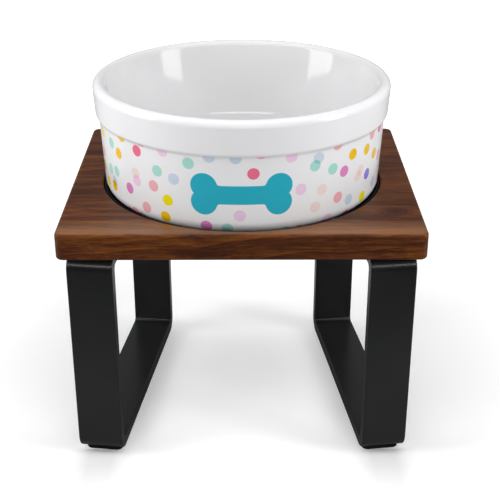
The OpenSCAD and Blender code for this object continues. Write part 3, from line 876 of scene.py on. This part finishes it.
def paper_sweep(tint):
    """White paper: it takes the object's shadow, and looks near white directly and in reflections, with
    painted shade and a painted reflection of the legs.
    """
    made, tree, shader, place = new_material("White paper sweep")
    path = add(tree, "ShaderNodeLightPath").outputs
    axes = add(tree, "ShaderNodeSeparateXYZ", {"Vector": place}).outputs
    depth = add(tree, "ShaderNodeMapRange", {
        "Value": axes["Y"], "From Min": MIRROR_FRONT, "From Max": MIRROR_BACK})
    run = MIRROR_BACK - MIRROR_FRONT
    fading = add(tree, "ShaderNodeValToRGB", {"Fac": depth},
                 [((at - MIRROR_FRONT) / run, grey(level)) for at, level in PAINTED_MIRROR_LEVELS])
    bounced = add(tree, "ShaderNodeMix", {0: path["Is Diffuse Ray"], 6: rgba(tint), 7: rgba(grey(BOUNCE))},
                  data_type="RGBA")
    mirrored = add(tree, "ShaderNodeMix", {0: path["Is Glossy Ray"], 6: bounced, 7: fading}, data_type="RGBA")
    # Seen directly it glows white far off, and least beside the legs and under the middle of the board, which
    # paints shade there
    aside = add(tree, "ShaderNodeMath", {0: axes["X"]}, operation="ABSOLUTE")
    painted_shade_by_legs = add(tree, "ShaderNodeMapRange", {
        "Value": aside, "From Min": 0.05, "From Max": 0.13, "To Min": 0.35, "To Max": 0.18})
    away = add(tree, "ShaderNodeVectorMath", {0: place}, operation="LENGTH")
    far = add(tree, "ShaderNodeMapRange", {"Value": away, "From Min": 0.18, "From Max": 1.2, "To Max": 0.97})
    glow = add(tree, "ShaderNodeMath", {0: painted_shade_by_legs, 1: far}, operation="ADD")
    for patch_y, inner, outer, change in PAINTED_PATCHES:
        apart = add(tree, "ShaderNodeVectorMath", {0: place, 1: (0.0, patch_y, 0.0)}, operation="DISTANCE")
        patch = add(tree, "ShaderNodeMapRange", {
            "Value": apart, "From Min": inner, "From Max": outer, "To Min": change, "To Max": 0.0})
        glow = add(tree, "ShaderNodeMath", {0: glow, 1: patch}, operation="ADD")
    # Painted reflection of the legs in the sheet, fading away in front of the feet
    from_foot = add(tree, "ShaderNodeMath", {0: aside, 1: PAINTED_REFLECTION_X}, operation="SUBTRACT")
    beside_foot = add(tree, "ShaderNodeMath", {0: from_foot}, operation="ABSOLUTE")
    below = add(tree, "ShaderNodeMapRange", {"Value": beside_foot, "From Min": 0.022, "From Max": 0.008})
    fade = add(tree, "ShaderNodeMapRange", {
        "Value": axes["Y"], "From Min": -0.165, "From Max": -0.11, "To Max": -0.24})
    ahead = add(tree, "ShaderNodeMath", {0: axes["Y"], 1: PAINTED_REFLECTION_Y}, operation="LESS_THAN")
    fading_ahead = add(tree, "ShaderNodeMath", {0: fade, 1: ahead}, operation="MULTIPLY")
    sheen = add(tree, "ShaderNodeMath", {0: below, 1: fading_ahead}, operation="MULTIPLY")
    glow = add(tree, "ShaderNodeMath", {0: glow, 1: sheen}, operation="ADD")
    seen = add(tree, "ShaderNodeMath", {0: path["Is Camera Ray"], 1: glow}, operation="MULTIPLY")
    plug(tree, shader, {"Base Color": mirrored, "Roughness": 0.9, "Emission Color": WHITE,
                        "Emission Strength": seen})
    return made


# Operators

class FEEDER_OT_bowl(bpy.types.Operator):
    """Turn the glazed bowl from its section, with a bare foot"""

    bl_idname = "feeder.bowl"
    bl_label = "Bowl"

    def execute(self, context):
        s = context.scene.feeder_bowl
        section = section_mesh("bowl_section", bowl_section(s), BOWL_LOW.z)
        glaze = glazed_stoneware(s, context.scene.feeder_print)
        bowl = grow("glazed_bowl", section, turned_tree(), steps_around=AROUND_BOWL, material=glaze)
        bowl.data.materials.append(bare_stoneware(s.bisque))
        foot_level = BOWL_LOW.z + s.foot_round / 2
        for face in bowl.data.polygons:
            if face.center.z < foot_level:
                face.material_index = 1
        settle(bowl, "bowl", "glaze", "bowl")
        return {"FINISHED"}


class FEEDER_OT_seat_ring(bpy.types.Operator):
    """Turn the rubber ring that lines the recess"""

    bl_idname = "feeder.seat_ring"
    bl_label = "Seat ring"

    def execute(self, context):
        s = context.scene.feeder_seat
        section = section_mesh("seat_section", seat_section(s), SEAT_LOW.z)
        moulded = rubber("Moulded rubber", s.rubber, grain=0.8)
        ring = grow("rubber_seat", section, turned_tree(), steps_around=AROUND_BOWL, material=moulded)
        settle(ring, "stand", "seat_rubber", "seat_ring")
        return {"FINISHED"}


class FEEDER_OT_board(bpy.types.Operator):
    """Finish the board in oiled walnut"""

    bl_idname = "feeder.board"
    bl_label = "Board"

    def execute(self, context):
        dress("top_board", oiled_walnut(context.scene.feeder_board))
        return {"FINISHED"}


def leg_place(side, height):
    """Middle of a leg at a height."""
    return (side * (LOOP_LOW.x + LOOP_HIGH.x) / 2, (LOOP_LOW.y + LOOP_HIGH.y) / 2, height)


def loop_length(s):
    """Length of a loop, from how deep its turned box is."""
    half = (LOOP_HIGH.y - LOOP_LOW.y) / 2 - s.bar_edge - (s.bar_w / 2 - s.bar_edge) * math.sin(s.toe_in)
    return 2 * (half / math.cos(s.toe_in) + s.bar_edge)


class FEEDER_OT_leg_loops(bpy.types.Operator):
    """Bend the two leg loops from flat bar"""

    bl_idname = "feeder.leg_loops"
    bl_label = "Leg loops"

    def execute(self, context):
        s = context.scene.feeder_legs
        f = context.scene.feeder_fasteners
        tree = loop_tree()
        coat = powder_coat(s.coat)
        for name, side in SIDES.items():
            loop = grow(
                f"{name}_bar_loop", bpy.data.meshes.new(name), tree, loop_length=loop_length(s),
                loop_height=LOOP_HIGH.z - LOOP_LOW.z, bar_width=s.bar_w, bar_thickness=s.bar_t,
                bar_edge=s.bar_edge, bend_radius=s.bend_r, hole_diameter=f.hole_d, spacing_across=f.across,
                spacing_along=f.along, toe_in=side * s.toe_in,
                place=leg_place(side, (LOOP_LOW.z + LOOP_HIGH.z) / 2), material=coat)
            settle(loop, "stand", "black_steel", f"{name}_leg_loop")
        return {"FINISHED"}


class FEEDER_OT_fasteners(bpy.types.Operator):
    """Set the screws and washers on the loops, and finish the inserts in brass"""

    bl_idname = "feeder.fasteners"
    bl_label = "Fasteners"

    def execute(self, context):
        s = context.scene.feeder_fasteners
        toe_in = context.scene.feeder_legs.toe_in
        tree = fastener_tree(turned_tree())
        zinc = turned_metal("Black zinc steel", s.zinc, roughness=0.38)
        brass = turned_metal("Turned brass", s.brass, roughness=0.3)
        kinds = {
            "screws": (screw_section(s, SCREW_HIGH.z - WASHER_LOW.z), s.socket_w),
            "washers": (washer_section(s, WASHER_HIGH.z - WASHER_LOW.z), 0.0),
        }
        for name, side in SIDES.items():
            for kind, (section, socket_w) in kinds.items():
                group = grow(
                    f"{name}_{kind}", section_mesh(kind, section, 0.0), tree, steps_around=AROUND_SCREW,
                    socket_width=socket_w, socket_depth=s.socket_depth, socket_level=-s.head_h,
                    spacing_across=s.across, spacing_along=s.along, toe_in=side * toe_in,
                    place=leg_place(side, WASHER_LOW.z), material=zinc)
                settle(group, "stand", "screw_steel", f"{name}_leg_{kind}")
            dress(f"{name}_leg_inserts", brass)
        return {"FINISHED"}


class FEEDER_OT_foot_pads(bpy.types.Operator):
    """Cut the four foot pads from rubber sheet"""

    bl_idname = "feeder.foot_pads"
    bl_label = "Foot pads"

    def execute(self, context):
        s = context.scene.feeder_pads
        toe_in = context.scene.feeder_legs.toe_in
        tree = pad_tree()
        sheet = rubber("Rubber sheet", s.rubber, grain=0.6)
        for side_name, side in SIDES.items():
            for end_name in ENDS:
                node = f"{end_name}_{side_name}_foot_pad"
                low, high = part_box(node)
                middle = (low + high) / 2
                pad = grow(
                    f"{end_name}_{side_name}_pad", bpy.data.meshes.new(node), tree, rim=s.rim, width=s.pad_w,
                    length=s.pad_l, corner=s.corner, thickness=high.z - low.z, toe_in=side * toe_in,
                    place=(middle.x, middle.y, low.z), material=sheet)
                settle(pad, "stand", "pad_rubber", node)
        return {"FINISHED"}


# Softboxes: azimuth from the front towards +X and elevation in degrees, distance, width and height in metres,
# and power in watts
LAMPS = {
    "right_softbox": (69, 20, 1.1, 0.36, 0.86, 5.7),
    "left_softbox": (-78, 20, 1.1, 0.48, 0.86, 7.2),
    "top_softbox": (0, 84, 1.3, 1.8, 1.2, 10.6),
    "front_softbox": (0, 28, 1.6, 2.0, 0.11, 6.0),
}
# Radius of the paper in metres
FLOOR_R = 14.0
# Light of the room from in front and from behind, as matt and as glossy surfaces get it, and from its sides
FILL_FRONT, FILL_BACK = 0.04, 0.24
GLOSS_FRONT, GLOSS_BACK = 0.03, 0.27
FILL_SIDES = 0.24


class FEEDER_OT_stage(bpy.types.Operator):
    """Set up the white floor, the softboxes, the world and the camera"""

    bl_idname = "feeder.stage"
    bl_label = "Stage"

    def execute(self, context):
        s = context.scene.feeder_stage
        self.lay_floor(context, s)
        self.hang_lamps(context)
        self.fill_world(context)
        self.aim_camera(context, s)
        context.scene.view_settings.view_transform = "Standard"
        return {"FINISHED"}

    def lay_floor(self, context, s):
        """A round sheet of white paper."""
        disc = bmesh.new()
        bmesh.ops.create_circle(disc, cap_ends=True, segments=64, radius=FLOOR_R)
        mesh = bpy.data.meshes.new("floor")
        disc.to_mesh(mesh)
        disc.free()
        mesh.materials.append(paper_sweep(s.floor))
        floor = bpy.data.objects.new("floor", mesh)
        context.scene.collection.objects.link(floor)

    def hang_lamps(self, context):
        """Softboxes to both sides and above and a strip in front, each turned to the object's middle."""
        target = (CAD_BOX[0] + CAD_BOX[1]) / 2
        for name, (azimuth, elevation, distance, width, height, power) in LAMPS.items():
            turn, lift = math.radians(azimuth), math.radians(elevation)
            away = Vector((math.sin(turn) * math.cos(lift), -math.cos(turn) * math.cos(lift), math.sin(lift)))
            lamp = bpy.data.lights.new(name, "AREA")
            lamp.shape = "RECTANGLE"
            lamp.size = width
            lamp.size_y = height
            lamp.energy = power
            box = bpy.data.objects.new(name, lamp)
            box.location = target + away * distance
            box.rotation_euler = (-away).to_track_quat("-Z", "Y").to_euler()
            context.scene.collection.objects.link(box)

    def fill_world(self, context):
        """A pale room: white where the camera looks, bright behind the object and dim in front of it."""
        world = bpy.data.worlds.new("Studio")
        world.use_nodes = True
        context.scene.world = world
        tree = world.node_tree
        around = add(tree, "ShaderNodeTexCoord").outputs["Generated"]
        axes = add(tree, "ShaderNodeSeparateXYZ", {"Vector": around}).outputs
        depth = {"Value": axes["Y"], "From Min": -0.6, "From Max": 0.8}
        fill = add(tree, "ShaderNodeMapRange", {**depth, "To Min": FILL_FRONT, "To Max": FILL_BACK})
        mirrored = add(tree, "ShaderNodeMapRange", {**depth, "To Min": GLOSS_FRONT, "To Max": GLOSS_BACK})
        aside = add(tree, "ShaderNodeMath", {0: axes["X"]}, operation="ABSOLUTE")
        by_sides = add(tree, "ShaderNodeMapRange", {
            "Value": aside, "From Min": 0.2, "From Max": 0.7, "To Max": FILL_SIDES})
        spread = add(tree, "ShaderNodeMath", {0: fill, 1: by_sides}, operation="ADD")
        path = add(tree, "ShaderNodeLightPath").outputs
        level = add(tree, "ShaderNodeMix", {0: path["Is Glossy Ray"], 2: spread, 3: mirrored})
        strength = add(tree, "ShaderNodeMix", {0: path["Is Camera Ray"], 2: level, 3: 1.0})
        plug(tree, tree.nodes["Background"], {"Color": WHITE, "Strength": strength})

    def aim_camera(self, context, s):
        """The photograph's view, from in front and above."""
        lens = bpy.data.cameras.new("camera")
        lens.sensor_width = 36.0
        lens.lens = s.lens
        camera = bpy.data.objects.new("camera", lens)
        camera.location = (s.beside, -s.back, s.height)
        camera.rotation_euler = (QUARTER - s.pitch, 0.0, -s.yaw)
        context.scene.collection.objects.link(camera)
        context.scene.camera = camera


STEPS = (FEEDER_OT_bowl, FEEDER_OT_seat_ring, FEEDER_OT_board, FEEDER_OT_leg_loops, FEEDER_OT_fasteners,
         FEEDER_OT_foot_pads, FEEDER_OT_stage)


class FEEDER_PT_panel(bpy.types.Panel):
    """Lists the feeder's pieces with their sizes and colours"""

    bl_idname = "FEEDER_PT_panel"
    bl_label = "Raised pet feeder"
    bl_space_type = "VIEW_3D"
    bl_region_type = "UI"
    bl_category = "Feeder"

    def draw(self, context):
        for step in STEPS:
            self.layout.operator(step.bl_idname)
        for name, group in GROUPS.items():
            box = self.layout.box()
            box.label(text=group.__doc__)
            for key in group.__annotations__:
                box.prop(getattr(context.scene, name), key)


def register():
    for group in GROUPS.values():
        bpy.utils.register_class(group)
    for name, group in GROUPS.items():
        setattr(bpy.types.Scene, name, PointerProperty(type=group))
    for made in (*STEPS, FEEDER_PT_panel):
        bpy.utils.register_class(made)


def unregister():
    for made in (FEEDER_PT_panel, *reversed(STEPS)):
        bpy.utils.unregister_class(made)
    for name, group in GROUPS.items():
        delattr(bpy.types.Scene, name)
        bpy.utils.unregister_class(group)


def main():
    register()
    bpy.ops.feeder.bowl()
    bpy.ops.feeder.seat_ring()
    bpy.ops.feeder.board()
    bpy.ops.feeder.leg_loops()
    bpy.ops.feeder.fasteners()
    bpy.ops.feeder.foot_pads()
    bpy.ops.feeder.stage()


if __name__ == "__main__":
    main()
